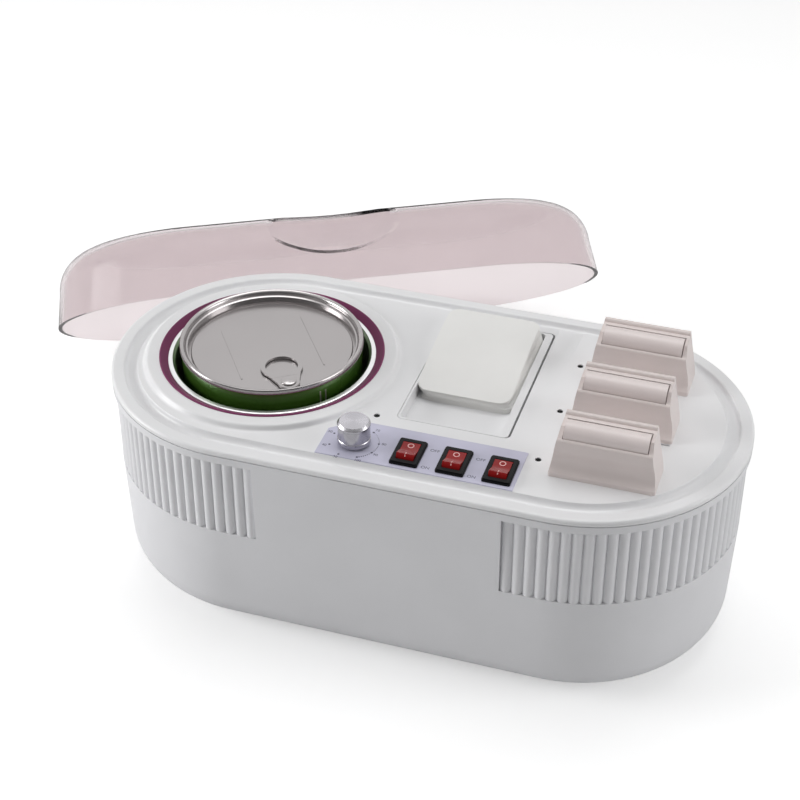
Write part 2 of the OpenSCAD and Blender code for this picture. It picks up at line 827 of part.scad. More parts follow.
// A rocker lies with its far end pressed down
module rocker(k) {
    wing = 2.5;
    color([0.75, 0.05, 0.06])
    at_switch(k) translate([0, 0, pivot_z]) rotate([-rocker_tilt, 0, 0]) {
        translate([-rocker_w / 2, 0, 0]) rotate([90, 0, 90])
            linear_extrude(rocker_w)
                intersection() {
                    circle(rocker_r);
                    polygon([[-rocker_r, -rocker_r], [rocker_r, -rocker_r], [rocker_r, wing + 1.6],
                             [0, wing], [-rocker_r, wing + 1.6]]);
                }
        translate([-5.9, 0, 0]) rotate([0, 90, 0]) cylinder(r = pivot_pin_r, h = 11.8);
    }
}

pilot_board_z = deck_under - 9;

module pilot_lenses() {
    color([0.08, 0.08, 0.08])
    for (p = pilots)
        translate([p.x, p.y, pilot_board_z + 1.6])
            cylinder(r = pilot_r, h = deck_z - pilot_board_z - 2.1);
}

module pilot_boards() {
    color([0.15, 0.4, 0.22]) {
        translate([pilots[0].x - 8, pilots[0].y - 6, pilot_board_z]) cube([11, 12, 1.6]);
        translate([pilots[1].x - 3.5, pilots[1].y - 6, pilot_board_z])
            cube([8.6 - 2.6 + 0.4, pilots[3].y - pilots[1].y + 12, 1.6]);
    }
}

// ---- Roll-on cartridges ----

module bay(i) {
    w = tank_w + 2 * bay_gap;
    d = tank_d + 2 * bay_gap;
    color([0.78, 0.79, 0.8])
    difference() {
        union() {
            bay_frame(i, w + 2 * bay_t, d + 2 * bay_t, bay_z0, bay_top);
            bay_frame(i, w + 5, d + 5, bay_top - 1.2, bay_top);
        }
        bay_frame(i, w, d, bay_z0 + bay_t, bay_top + 1);
    }
}

module bay_heaters() {
    color([0.72, 0.66, 0.5])
    for (i = [1 : 3])
        translate([head_x0 + head_w / 2 - 20,
                   head_y(i) + head_d / 2 - tank_d / 2 - bay_gap - bay_t - 1.6, bay_z0 + 12])
            cube([40, 1.6, 54]);
}

module wax_tank(i) {
    color([0.88, 0.82, 0.72])
    translate([head_x0 + head_w / 2, head_y(i) + head_d / 2, 0]) {
        translate([0, 0, deck_z - tank_h]) rounded_block(tank_w, tank_d, tank_h, 3);
        translate([0, 0, deck_z - eps]) rounded_block(tank_w - 6.4, neck_d, neck_h, 2);
    }
}

// End view of a head, front face at y = 0 and seat at z = 0: a flared foot, a waist, a rolled lip
// under the roller, a sloping cheek and a rounded ridge behind the roller
module head_profile() {
    waist_y = 3.8;
    waist_r = 9;
    lip_y = 2.2;
    lip_r = 1.8;
    lip_z = roller_z - 0.5;
    ridge_r = 1.6;
    ridge_y = roller_y + roller_r + roller_gap + 0.3;
    polygon(concat(
        [[0, 0], [0, 1.6]],
        arc_pts(waist_y - waist_r, 9.5, waist_r, -54, 30, 9),
        [[lip_y - 0.2, 16.6]],
        arc_pts(lip_y + lip_r, lip_z - lip_r, lip_r, 180, 90, 5),
        [[roller_y - 2, head_h - 2.8], [ridge_y, head_h - 1.8]],
        arc_pts(ridge_y + ridge_r, head_h - ridge_r, ridge_r, 170, 0, 6),
        [[head_d - 3.2, 24], [head_d - 2.6, 19], [head_d - 1.4, 12], [head_d - 0.5, 6],
         [head_d, 1.6], [head_d, 0]]));
}

module roller_head(i) {
    color([0.87, 0.8, 0.78])
    translate([head_x0, head_y(i), deck_z])
        difference() {
            intersection() {
                rotate([90, 0, 90]) linear_extrude(head_w) head_profile();
                translate([0, head_d + 1, 0]) rotate([90, 0, 0])
                    linear_extrude(head_d + 2)
                        polygon([[0, 0], [head_w, 0],
                                 [head_w - head_lean * head_h, head_h],
                                 [head_lean * head_h, head_h]]);
                translate([head_w / 2, head_d / 2, 0]) rounded_block(head_w, head_d, head_h, 1.6);
            }
            translate([head_w / 2, head_d / 2, -1])
                rounded_block(tank_w - 6, neck_d + 0.4, neck_h + 1, 2.2);
            translate([head_w / 2 - 19, roller_y - 2, neck_h - 1]) cube([38, 4, roller_z - neck_h]);
            translate([(head_w - roller_l) / 2 - roller_gap, roller_y, roller_z])
                rotate([0, 90, 0])
                    cylinder(r = roller_r + roller_gap, h = roller_l + 2 * roller_gap);
            translate([(head_w - roller_l) / 2 - axle_l - 0.1, roller_y, roller_z])
                rotate([0, 90, 0])
                    cylinder(r = axle_r + turn_gap, h = roller_l + 2 * axle_l + 0.2);
        }
}

module roller(i) {
    color([0.9, 0.84, 0.82])
    translate([head_x0 + (head_w - roller_l) / 2, head_y(i) + roller_y, deck_z + roller_z])
        rotate([0, 90, 0]) {
            cylinder(r = roller_r, h = roller_l);
            translate([0, 0, -axle_l]) cylinder(r = axle_r, h = roller_l + 2 * axle_l);
        }
}

// ---- Strip tray and strips ----

tray_x0 = pocket_x0 + 0.3;
tray_y0 = pocket_y0 + 0.4;
tray_z0 = pocket_z + tray_floor;

module strip_tray() {
    color([0.94, 0.94, 0.9])
    difference() {
        translate([tray_x0 + tray_w / 2, tray_y0 + tray_l / 2, pocket_z])
            rounded_block(tray_w, tray_l, pocket_d, 2.6);
        translate([tray_x0 + tray_wall + (tray_w - tray_wall - tray_side) / 2,
                   tray_y0 + tray_l / 2, tray_z0])
            rounded_block(tray_w - tray_wall - tray_side, tray_l - 2 * tray_wall, pocket_d, 2.4);
    }
}

// Cut strips in a loose pile. Each packet is thicker at its rear end and lies a little out of line.
strip_packets = 6;
strip_x0 = tray_x0 + tray_wall + fit_gap + 0.1;
strip_y1 = tray_y0 + tray_l - tray_wall - fit_gap;

// Height of the pile over the tray's floor, where t runs from 0 at its front to 1 at its rear
function pile_h(t) = strip_front_h + (strip_back_h - strip_front_h) * sin(90 * t);

// Side view of one packet, from its front end at x = 0
module packet_side(k) {
    steps = 10;
    polygon(concat(
        [for (j = [0 : steps]) [strip_l * j / steps, pile_h(j / steps) * k / strip_packets]],
        [for (j = [steps : -1 : 0]) [strip_l * j / steps, pile_h(j / steps) * (k + 1) / strip_packets]]));
}

module wax_strips() {
    color([0.93, 0.93, 0.92])
    for (k = [0 : strip_packets - 1]) {
        aside = 1.3 * sin(k * 35);
        back = 0.7 * (1 + sin(k * 140));
        intersection() {
            translate([strip_x0 + aside, strip_y1 - strip_l + back, tray_z0 - eps])
                rotate([90, 0, 90]) linear_extrude(strip_w) packet_side(k);
            translate([strip_x0 + aside + strip_w / 2, strip_y1 + back / 2 - strip_l / 2, tray_z0])
                rounded_block(strip_w, strip_l - back, strip_back_h + 1, 3);
        }
    }
}

// ---- Lid ----

function lid_section(t) = concat(
    [[0, t > 0 ? -1 : 0], [lid_r - t, t > 0 ? -1 : 0], [lid_r - t, 0]],
    arc_pts(lid_r - lid_taper - lid_edge_r, lid_h - lid_edge_r, lid_edge_r - t, 0, 90, 10),
    [[0, lid_h - t]]);

module lid_scoops(grow) {
    for (s = [-1, 1])
        translate([0, s * (lid_r - lid_taper + scoop_off), lid_h + scoop_off])
            sphere(r = scoop_r + grow, $fn = 96);
}

// The closed lid, standing on its rim at z = 0
module lid_form() {
    difference() {
        difference() {
            stadium_sweep(lid_section(0), half);
            lid_scoops(0);
        }
        difference() {
            stadium_sweep(lid_section(lid_t), half);
            lid_scoops(lid_t);
        }
    }
}

// The lid leans: its low edge stands on the table, its high edge on the housing wall.
lid_tilt = -asin((base_h - lid_drop - table_z) / (2 * lid_r));
// r_zx and r_zy are the height terms of its turned X and Y axes.
r_zx = -sin(lid_roll) * cos(lid_tilt);
r_zy = sin(lid_tilt);
lid_z = table_z + half * abs(r_zx) + lid_r * sqrt(r_zx * r_zx + r_zy * r_zy);
// Plan directions of its turned X and Y axes
x_dir = [cos(lid_yaw) * cos(lid_roll) - sin(lid_yaw) * sin(lid_tilt) * sin(lid_roll),
         sin(lid_yaw) * cos(lid_roll) + cos(lid_yaw) * sin(lid_tilt) * sin(lid_roll)];
y_dir = [-sin(lid_yaw) * cos(lid_tilt), cos(lid_yaw) * cos(lid_tilt)];
x_len = norm(x_dir);
along_dir = x_dir / x_len;
out_dir = [-along_dir.y, along_dir.x];
// Its turned Z axis: the part that points away from the housing, and the part that points up
z_dir = [sin(lid_yaw) * sin(lid_tilt) * cos(lid_roll) + cos(lid_yaw) * sin(lid_roll),
         sin(lid_yaw) * sin(lid_roll) - cos(lid_yaw) * sin(lid_tilt) * cos(lid_roll)];
z_out = z_dir * out_dir;
z_up = cos(lid_tilt) * cos(lid_roll);
// The high edge lies against the rounded end, over or just under the top of the ribs
rim_z = lid_z + lid_r * abs(r_zy) - lid_along * abs(r_zx);
rim_under = max(0, flute_z0 + flute_h - rim_z);
lean_r = max(flute_crest_r, end_r + (fit_gap - rim_under * z_out) / z_up - fit_gap) + fit_gap;
lean_off = lean_r + lid_r * (y_dir * out_dir);
lid_pos = [-half, 0] + out_dir * lean_off + along_dir * lid_along;

module lid() {
    color([0.85, 0.75, 0.78, 0.5])
    translate([lid_pos.x, lid_pos.y, lid_z])
        rotate([0, 0, lid_yaw]) rotate([lid_tilt, 0, 0]) rotate([0, lid_roll, 0])
            lid_form();
}

base_shell();
deck();
rubber_feet();
foot_screws();
case_screws();
mains_inlet();
inlet_pins();
power_board();
terminal_block();
relays();
heater_well();
heater_band();
thermal_cutout();
well_collar();
can_body();
can_end();
can_wax();
tab_base();
pull_tab();
control_plate();
thermostat();
thermostat_nut();
thermostat_shaft();
control_knob();
switch_housing(1);  // switch_housing_1
switch_housing(2);  // switch_housing_2
switch_housing(3);  // switch_housing_3
rocker(1);  // rocker_1
rocker(2);  // rocker_2
rocker(3);  // rocker_3
pilot_lenses();
pilot_boards();
bay(1);  // bay_1
bay(2);  // bay_2
bay(3);  // bay_3
bay_heaters();
wax_tank(1);  // wax_tank_1
wax_tank(2);  // wax_tank_2
wax_tank(3);  // wax_tank_3
roller_head(1);  // roller_head_1
roller_head(2);  // roller_head_2
roller_head(3);  // roller_head_3
roller(1);  // roller_1
roller(2);  // roller_2
roller(3);  // roller_3
strip_tray();
wax_strips();
lid();
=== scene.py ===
"""A desk-top wax heater: an oval fluted housing with a can well, roll-on cartridges, a tray of strips
and a clear lid that leans behind it."""
import math

import bmesh
import bpy
from mathutils import Matrix, Vector
from mathutils.bvhtree import BVHTree


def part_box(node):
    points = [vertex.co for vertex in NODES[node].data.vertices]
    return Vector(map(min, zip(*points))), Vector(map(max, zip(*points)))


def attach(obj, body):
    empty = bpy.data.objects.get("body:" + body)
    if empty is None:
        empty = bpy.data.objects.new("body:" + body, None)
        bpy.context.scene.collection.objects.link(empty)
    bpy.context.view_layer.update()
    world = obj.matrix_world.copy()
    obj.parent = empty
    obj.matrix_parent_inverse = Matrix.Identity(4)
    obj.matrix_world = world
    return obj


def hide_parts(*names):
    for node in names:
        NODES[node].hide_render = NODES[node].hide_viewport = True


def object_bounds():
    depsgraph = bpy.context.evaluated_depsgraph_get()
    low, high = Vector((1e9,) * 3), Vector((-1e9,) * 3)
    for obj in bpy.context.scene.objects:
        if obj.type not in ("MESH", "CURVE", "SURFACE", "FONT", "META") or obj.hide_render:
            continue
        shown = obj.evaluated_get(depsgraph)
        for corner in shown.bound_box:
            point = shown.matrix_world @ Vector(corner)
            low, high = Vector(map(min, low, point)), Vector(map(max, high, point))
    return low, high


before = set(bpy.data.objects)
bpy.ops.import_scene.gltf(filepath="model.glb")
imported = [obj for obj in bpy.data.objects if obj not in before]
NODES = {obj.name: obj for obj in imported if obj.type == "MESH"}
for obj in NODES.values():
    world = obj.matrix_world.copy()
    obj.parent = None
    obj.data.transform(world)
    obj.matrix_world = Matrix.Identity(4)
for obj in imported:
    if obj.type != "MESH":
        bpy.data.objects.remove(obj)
cad_low, cad_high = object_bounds()
MM = 0.001


# ---- Base shell ----
# One injection-moulded bucket in pale grey ABS with a spark-eroded, slightly matt skin. The mould
# leaves every outer edge rounded, and the ribs of both end bands run straight down with the draw.

patches_per_metre = 22
gloss_spread = 0.15
merge_distance = 0.002 * MM
flat_angle = math.radians(0.4)
cut_tolerance = 0.0001 * MM
cut_rounds = 9
edge_angle = math.radians(40)


def add_node(tree, kind, settings=None, **sockets):
    """One node, with its settings and with values or other nodes' outputs on its sockets. An
    underscore in a socket's name stands for a space, and _0 is the first socket."""
    made = tree.nodes.new(kind)
    for key, value in (settings or {}).items():
        setattr(made, key, value)
    for key, value in sockets.items():
        by_number = key[1:].isdigit()
        socket = made.inputs[int(key[1:]) if by_number else key.replace("_", " ")]
        if isinstance(value, bpy.types.NodeSocket):
            tree.links.new(value, socket)
        else:
            socket.default_value = value
    return made


def moulded(name, colour, roughness, grain=0.03, grain_size=0.6, mottle=0.02, **sockets):
    """Plastic with a fine moulded grain and a faint unevenness in its colour. The grain's depth and
    size are in millimetres."""
    material = bpy.data.materials.new(name)
    material.use_nodes = True
    tree = material.node_tree
    shader = tree.nodes["Principled BSDF"]
    place = add_node(tree, "ShaderNodeTexCoord").outputs["Object"]
    patches = add_node(tree, "ShaderNodeTexNoise", Scale=patches_per_metre, Detail=3, Vector=place)
    tint = add_node(tree, "ShaderNodeValToRGB", Fac=patches.outputs["Fac"])
    for stop, position, shade in zip(tint.color_ramp.elements, (0.3, 0.7), (1 - mottle, 1 + mottle)):
        stop.position = position
        stop.color = [min(1, c * shade) for c in colour] + [1]
    tree.links.new(tint.outputs["Color"], shader.inputs["Base Color"])
    skin = add_node(tree, "ShaderNodeTexNoise", Scale=1 / (grain_size * MM), Detail=2, Vector=place)
    bump = add_node(tree, "ShaderNodeBump", Strength=0.5, Distance=grain * MM,
                    Height=skin.outputs["Fac"])
    tree.links.new(bump.outputs["Normal"], shader.inputs["Normal"])
    gloss = add_node(tree, "ShaderNodeMapRange", Value=skin.outputs["Fac"],
                     To_Min=roughness * (1 - gloss_spread),
                     To_Max=min(1, roughness * (1 + gloss_spread)))
    tree.links.new(gloss.outputs["Result"], shader.inputs["Roughness"])
    for socket, value in sockets.items():
        shader.inputs[socket.replace("_", " ")].default_value = value
    return material


def placed(name, data):
    """A new object with this data, put in the scene."""
    piece = bpy.data.objects.new(name, data)
    bpy.context.scene.collection.objects.link(piece)
    return piece


def applied(piece):
    """Turns a piece and its modifiers into a plain mesh."""
    depsgraph = bpy.context.evaluated_depsgraph_get()
    mesh = bpy.data.meshes.new_from_object(piece.evaluated_get(depsgraph))
    piece.modifiers.clear()
    piece.data = mesh
    return mesh


def plain_mesh(piece, smooth_angle=32, level=True):
    """Applies a piece's modifiers and shades it smooth up to an angle. Level keeps its flats flat."""
    mesh = applied(piece)
    mesh.polygons.foreach_set("use_smooth", [True] * len(mesh.polygons))
    mesh.set_sharp_from_angle(angle=math.radians(smooth_angle))
    if level:
        flats = piece.modifiers.new("flats", "WEIGHTED_NORMAL")
        flats.keep_sharp = True
        flats.weight = 80
        mesh = applied(piece)
        least_agreement = 0.7
        corners = [corner.vector.copy() for corner in mesh.corner_normals]
        for face in mesh.polygons:
            for k in face.loop_indices:
                if not corners[k].dot(face.normal) > least_agreement:
                    corners[k] = face.normal.copy()
        mesh.normals_split_custom_set(corners)
    return piece


def fitted(piece, body, material):
    """Fixes a made piece to its body, with its finish."""
    piece.data.materials.clear()
    piece.data.materials.append(material)
    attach(piece, body)
    return piece


def eased(node, name, body, radius, material, most_sides=24):
    """A solid with its sharp edges rounded off, which stands for its node. Its flat faces are put
    together first, and those with more sides than the most are cut in halves."""
    mesh = NODES[node].data.copy()
    piece = placed(name, mesh)
    work = bmesh.new()
    work.from_mesh(mesh)
    bmesh.ops.remove_doubles(work, verts=work.verts, dist=merge_distance)
    bmesh.ops.dissolve_limit(work, angle_limit=flat_angle, verts=work.verts, edges=work.edges)
    for _ in range(cut_rounds):
        many_sided = [face for face in work.faces if len(face.verts) > most_sides]
        for face in many_sided:
            spots = [corner.co for corner in face.verts]
            spans = [max(spot[axis] for spot in spots) - min(spot[axis] for spot in spots)
                     for axis in range(3)]
            across = Vector([float(axis == spans.index(max(spans))) for axis in range(3)])
            middle = sum(spots, Vector()) / len(spots)
            bmesh.ops.bisect_plane(work, geom=[face, *face.edges, *face.verts], dist=cut_tolerance,
                                   plane_co=middle, plane_no=across)
    work.to_mesh(mesh)
    work.free()
    bevel = piece.modifiers.new("edges", "BEVEL")
    bevel.width = radius * MM
    bevel.segments = 2
    bevel.limit_method = "ANGLE"
    bevel.angle_limit = edge_angle
    bevel.use_clamp_overlap = True
    bevel.miter_outer = "MITER_ARC"
    plain_mesh(piece)
    fitted(piece, body, material)
    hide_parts(node)
    return piece


housing_plastic = moulded("housing_plastic", (0.79, 0.79, 0.81), 0.42)
eased("base_shell", "housing_bucket", "housing", 0.3, housing_plastic)


# ---- Feet and screws ----
# Four moulded rubber feet, each held by a pan-head screw sunk in a counterbore, and the long case
# screws that come up through the base into the deck's posts.

def dress(material, *nodes):
    """Gives nodes that stay as they are their finish."""
    for node in nodes:
        NODES[node].data.materials.clear()
        NODES[node].data.materials.append(material)


foot_rubber = moulded("foot_rubber", (0.035, 0.035, 0.037), 0.75, grain=0.05, grain_size=0.8)
dress(foot_rubber, "rubber_feet")
plated_steel = moulded("plated_steel", (0.62, 0.62, 0.64), 0.28, grain=0.004, grain_size=0.3,
                       Metallic=1.0)
dress(plated_steel, "foot_screws", "case_screws")


# ---- Mains inlet and electrics ----
# A two-pin inlet snapped into a pad on the rear wall, the power board on its stand-offs with relays
# and a screw terminal block, the heat control under its nut, the cut-out and the mica heaters.

black_plastic = moulded("black_plastic", (0.006, 0.006, 0.007), 0.36, grain=0.015, grain_size=0.5,
                        Specular_IOR_Level=0.12)
board_green = moulded("board_green", (0.03, 0.16, 0.06), 0.4, grain=0.01, mottle=0.1)
grey_plastic = moulded("grey_plastic", (0.55, 0.55, 0.53), 0.45)
relay_blue = moulded("relay_blue", (0.04, 0.1, 0.32), 0.35)
mica_heater = moulded("mica_heater", (0.33, 0.27, 0.17), 0.5, grain=0.05, grain_size=2, mottle=0.2)
dress(plated_steel, "inlet_pins", "thermostat_nut", "thermostat_shaft")
dress(black_plastic, "mains_inlet", "thermostat", "thermal_cutout")
dress(board_green, "power_board", "pilot_boards")
dress(grey_plastic, "terminal_block")
dress(relay_blue, "relays")
dress(mica_heater, "heater_band", "bay_heaters")


# ---- Deck ----
# The upper half of the case, moulded in a whiter and glossier ABS: a raised lip, a gutter inside it
# and the working surface, with the boss of the can well and the pocket for the strip tray.

deck_plastic = moulded("deck_plastic", (0.86, 0.86, 0.87), 0.3, grain=0.012, grain_size=0.8)
eased("deck", "deck_moulding", "housing", 0.35, deck_plastic)


# ---- Can well ----
# A deep-drawn aluminium pot hangs by its rolled lip in a plum-coloured collar, which rests on the
# deck's boss. The bays of the cartridges are drawn from the same sheet.

drawn_aluminium = moulded("drawn_aluminium", (0.78, 0.78, 0.79), 0.3, grain=0.01, grain_size=0.4,
                          Metallic=1.0)
collar_plum = moulded("collar_plum", (0.21, 0.045, 0.12), 0.4, grain=0.02, Specular_IOR_Level=0.12)
eased("heater_well", "well_pot", "housing", 0.25, drawn_aluminium)
dress(drawn_aluminium, "bay_1", "bay_2", "bay_3")
eased("well_collar", "well_ring", "housing", 0.25, collar_plum)


# ---- Wax can ----
# A three-piece tin of wax: a green-lacquered side with its welded seam, and an easy-open end of
# rolled tinplate seamed on to it, with two pressed beads and a riveted ring pull.

green_lacquer = moulded("green_lacquer", (0.055, 0.14, 0.016), 0.24, grain=0.003, mottle=0.1,
                        Metallic=0.45, Coat_Weight=0.35, Coat_Roughness=0.1)
rolled_tin = moulded("rolled_tin", (0.42, 0.4, 0.4), 0.22, grain=0.004, grain_size=0.5,
                     Metallic=0.9)
eased("can_body", "can_side", "can", 0.1, green_lacquer)
eased("can_end", "can_lid", "can", 0.12, rolled_tin)
eased("tab_base", "tab_foot", "can", 0.3, rolled_tin)
eased("pull_tab", "tab_ring", "tab", 0.3, rolled_tin)

can_low, can_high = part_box("can_body")
can_centre = (can_low + can_high) / 2


def finished(work, name):
    """The mesh of what was built up, face by face."""
    mesh = bpy.data.meshes.new(name)
    work.to_mesh(mesh)
    work.free()
    return mesh


def weld_lines(radius, low, high, heading, gap, width, proud):
    """The two bare margins beside the side's welded seam: thin curved strips down its height."""
    work = bmesh.new()
    for middle in (-gap / 2, gap / 2):
        rows = []
        for along in (middle - width / 2, middle, middle + width / 2):
            turn = heading + along / radius
            rows.append([[work.verts.new((can_centre.x + r * math.cos(turn),
                                          can_centre.y + r * math.sin(turn), z))
                          for z in (low, high)] for r in (radius - proud, radius + proud)])
        for a, b in zip(rows, rows[1:]):
            for corners in ((a[1][0], b[1][0], b[1][1], a[1][1]),
                            (a[0][1], b[0][1], b[0][0], a[0][0]),
                            (a[0][0], b[0][0], b[1][0], a[1][0]),
                            (a[1][1], b[1][1], b[0][1], a[0][1])):
                work.faces.new(corners)
        for end in (rows[0], rows[-1]):
            work.faces.new((end[0][0], end[1][0], end[1][1], end[0][1]))
    bmesh.ops.recalc_face_normals(work, faces=work.faces)
    return placed("can_weld", finished(work, "can_weld"))


bare_tin = moulded("bare_tin", (0.5, 0.47, 0.43), 0.3, grain=0.004, grain_size=0.5, Metallic=0.8)
can_weld = weld_lines(radius=49.8 * MM, low=can_high.z - 60 * MM, high=can_high.z - 4.2 * MM,
                      heading=math.radians(-36), gap=3.4 * MM, width=0.9 * MM, proud=0.05 * MM)
fitted(can_weld, "can", bare_tin)

wax_amber = moulded("wax_amber", (0.6, 0.36, 0.1), 0.3, grain=0.02, mottle=0.1)
dress(wax_amber, "can_wax", "wax_tank_1", "wax_tank_2", "wax_tank_3")


# ---- Control plate ----
# A thin printed plate with a lavender sand-blast texture, stuck to the deck under the dial and the
# switches. Its scale and words are screen-printed in dark blue-grey ink.

plate_film = moulded("plate_film", (0.61, 0.6, 0.74), 0.4, grain=0.06, grain_size=0.9, mottle=0.12)
eased("control_plate", "printed_plate", "housing", 0.1, plate_film)

print_ink = moulded("print_ink", (0.08, 0.08, 0.13), 0.5)
ink_height = 0.03 * MM
ink_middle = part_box("control_plate")[1].z + ink_height / 2
knob_low, knob_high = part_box("control_knob")
knob_centre = (knob_low + knob_high) / 2

scale_radius = 12.9 * MM
number_radius = 15.6 * MM
number_size, word_size = 2.5 * MM, 2.9 * MM
mark_radius, dot_radius = 0.6 * MM, 0.3 * MM
scale_marks = [(-110, "30"), (-154, "40"), (162, "50"), (110, "60"),
               (57, "70"), (10, "80"), (-27, "90"), (-65, "100")]
off_rise = 6.5 * MM
on_drop, on_shift = 8.4 * MM, 0.8 * MM


def words(name, text, size, x, y):
    """A printed word or number, laid flat on the plate and centred on x, y."""
    curve = bpy.data.curves.new(name, "FONT")
    curve.body = text
    curve.size = size
    curve.extrude = ink_height / 2
    curve.align_x = "CENTER"
    curve.align_y = "CENTER"
    lettering = placed(name, curve)
    depsgraph = bpy.context.evaluated_depsgraph_get()
    mesh = bpy.data.meshes.new_from_object(lettering.evaluated_get(depsgraph))
    bpy.data.objects.remove(lettering)
    mesh.transform(Matrix.Translation((x, y, ink_middle)))
    return mesh


def disc(radius, x, y, z, sides=24):
    """A round dot of ink, as a mesh."""
    work = bmesh.new()
    bmesh.ops.create_cone(work, cap_ends=True, segments=sides, radius1=radius, radius2=radius,
                          depth=ink_height, matrix=Matrix.Translation((x, y, z)))
    return finished(work, "disc")


def joined(name, meshes):
    """One object from several meshes, which are used up with the objects that show them."""
    work = bmesh.new()
    for mesh in meshes:
        work.from_mesh(mesh)
        bpy.data.meshes.remove(mesh)
    return placed(name, finished(work, name))


def node_tree(name, inputs):
    """A geometry node group with named number inputs, whole or not."""
    tree = bpy.data.node_groups.new(name, "GeometryNodeTree")
    tree.interface.new_socket("Geometry", in_out="INPUT", socket_type="NodeSocketGeometry")
    tree.interface.new_socket("Geometry", in_out="OUTPUT", socket_type="NodeSocketGeometry")
    for label, value in inputs.items():
        kind = "NodeSocketInt" if isinstance(value, int) else "NodeSocketFloat"
        socket = tree.interface.new_socket(label, in_out="INPUT", socket_type=kind)
        socket.default_value = value
    return tree


def maths(tree, operation, *values):
    """The output of a Math node."""
    return add_node(tree, "ShaderNodeMath", {"operation": operation},
                    **{f"_{i}": value for i, value in enumerate(values)}).outputs[0]


def grown(piece, tree, values):
    """Runs a node group on a piece with these inputs and keeps the plain mesh."""
    modifier = piece.modifiers.new(tree.name, "NODES")
    modifier.node_group = tree
    for item in tree.interface.items_tree:
        if item.in_out == "INPUT" and item.name in values:
            modifier[item.identifier] = values[item.name]
    return plain_mesh(piece, 40, level=False)


dots_rule = node_tree("dotted_arc_rule", {
    "Dots": 25, "Radius": scale_radius, "First angle": math.radians(57),
    "Last angle": math.radians(-65), "First size": 0.6, "Last size": 1.3})
given = add_node(dots_rule, "NodeGroupInput").outputs
line = add_node(dots_rule, "GeometryNodeMeshLine", Count=given["Dots"], Offset=(0, 0, 0))
index = add_node(dots_rule, "GeometryNodeInputIndex").outputs[0]
share = maths(dots_rule, "DIVIDE", index, maths(dots_rule, "SUBTRACT", given["Dots"], 1.0))
sweep = maths(dots_rule, "SUBTRACT", given["Last angle"], given["First angle"])
angle = maths(dots_rule, "MULTIPLY_ADD", share, sweep, given["First angle"])
growth = maths(dots_rule, "SUBTRACT", given["Last size"], given["First size"])
size = maths(dots_rule, "MULTIPLY_ADD", share, growth, given["First size"])
spot = add_node(dots_rule, "ShaderNodeCombineXYZ",
                X=maths(dots_rule, "MULTIPLY", maths(dots_rule, "COSINE", angle), given["Radius"]),
                Y=maths(dots_rule, "MULTIPLY", maths(dots_rule, "SINE", angle), given["Radius"]))
arc = add_node(dots_rule, "GeometryNodeSetPosition", Geometry=line.outputs["Mesh"],
               Position=spot.outputs["Vector"])
dots = add_node(dots_rule, "GeometryNodeInstanceOnPoints", Points=arc.outputs["Geometry"],
                Instance=given["Geometry"], Scale=size)
real = add_node(dots_rule, "GeometryNodeRealizeInstances", Geometry=dots.outputs["Instances"])
inked = add_node(dots_rule, "GeometryNodeSetMaterial", Geometry=real.outputs["Geometry"],
                 Material=print_ink)
add_node(dots_rule, "NodeGroupOutput", Geometry=inked.outputs["Geometry"])
scale_dots = grown(joined("scale_dots", [disc(dot_radius, 0, 0, 0, sides=10)]), dots_rule, {})
scale_dots.data.transform(Matrix.Translation((knob_centre.x, knob_centre.y, ink_middle)))

print_meshes = [scale_dots.data]
for turn, number in scale_marks:
    across, along = math.cos(math.radians(turn)), math.sin(math.radians(turn))
    print_meshes.append(words("scale_number", number, number_size,
                              knob_centre.x + number_radius * across,
                              knob_centre.y + number_radius * along))
    print_meshes.append(disc(mark_radius, knob_centre.x + scale_radius * across,
                             knob_centre.y + scale_radius * along, ink_middle))
for left, right in (("switch_housing_1", "switch_housing_2"),
                    ("switch_housing_2", "switch_housing_3")):
    between = (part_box(left)[1].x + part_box(right)[0].x) / 2
    middle_y = (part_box(left)[0].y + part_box(left)[1].y) / 2
    print_meshes.append(words("off_word", "OFF", word_size, between, middle_y + off_rise))
    print_meshes.append(words("on_word", "ON", word_size, between - on_shift, middle_y - on_drop))
plate_print = joined("plate_print", print_meshes)
fitted(plate_print, "housing", print_ink)


# ---- Heat dial ----
# A solid aluminium knob turned on a lathe, with a flat top, broken edges and a slight waist between
# its two rims. The tool and the brushing leave fine marks that run round its axis.

turned_metal = moulded("turned_metal", (0.5, 0.49, 0.52), 0.22, grain=0.003, grain_size=0.3,
                       Metallic=1.0, Anisotropic=0.7)
lathe_marks = add_node(turned_metal.node_tree, "ShaderNodeTangent",
                       {"direction_type": "RADIAL", "axis": "Z"})
turned_metal.node_tree.links.new(lathe_marks.outputs["Tangent"],
                                 turned_metal.node_tree.nodes["Principled BSDF"].inputs["Tangent"])
eased("control_knob", "dial_knob", "knob", 0.15, turned_metal)


# ---- Rocker switches ----
# Three snap-in rocker switches with a black nylon housing and a glossy red rocker, marked with the
# off ring and the on bar in pale ink. All three housings come from one mould.

rocker_red = moulded("rocker_red", (0.3, 0.008, 0.008), 0.16, grain=0.004, mottle=0.12,
                     Specular_IOR_Level=0.3)
mark_ink = moulded("mark_ink", (0.85, 0.5, 0.48), 0.4)

bezel = eased("switch_housing_3", "switch_bezel_3", "housing", 0.25, black_plastic,
              most_sides=200)
for number in (1, 2):
    twin = placed(f"switch_bezel_{number}", bezel.data.copy())
    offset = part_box(f"switch_housing_{number}")[0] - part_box("switch_housing_3")[0]
    twin.data.transform(Matrix.Translation(offset))
    fitted(twin, "housing", black_plastic)
    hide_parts(f"switch_housing_{number}")

ring_back, ring_radius, ring_line = 4.2, 1.5, 0.5 * MM
bar_front, bar_step, bar_line = 3.4, 0.5, 0.55 * MM


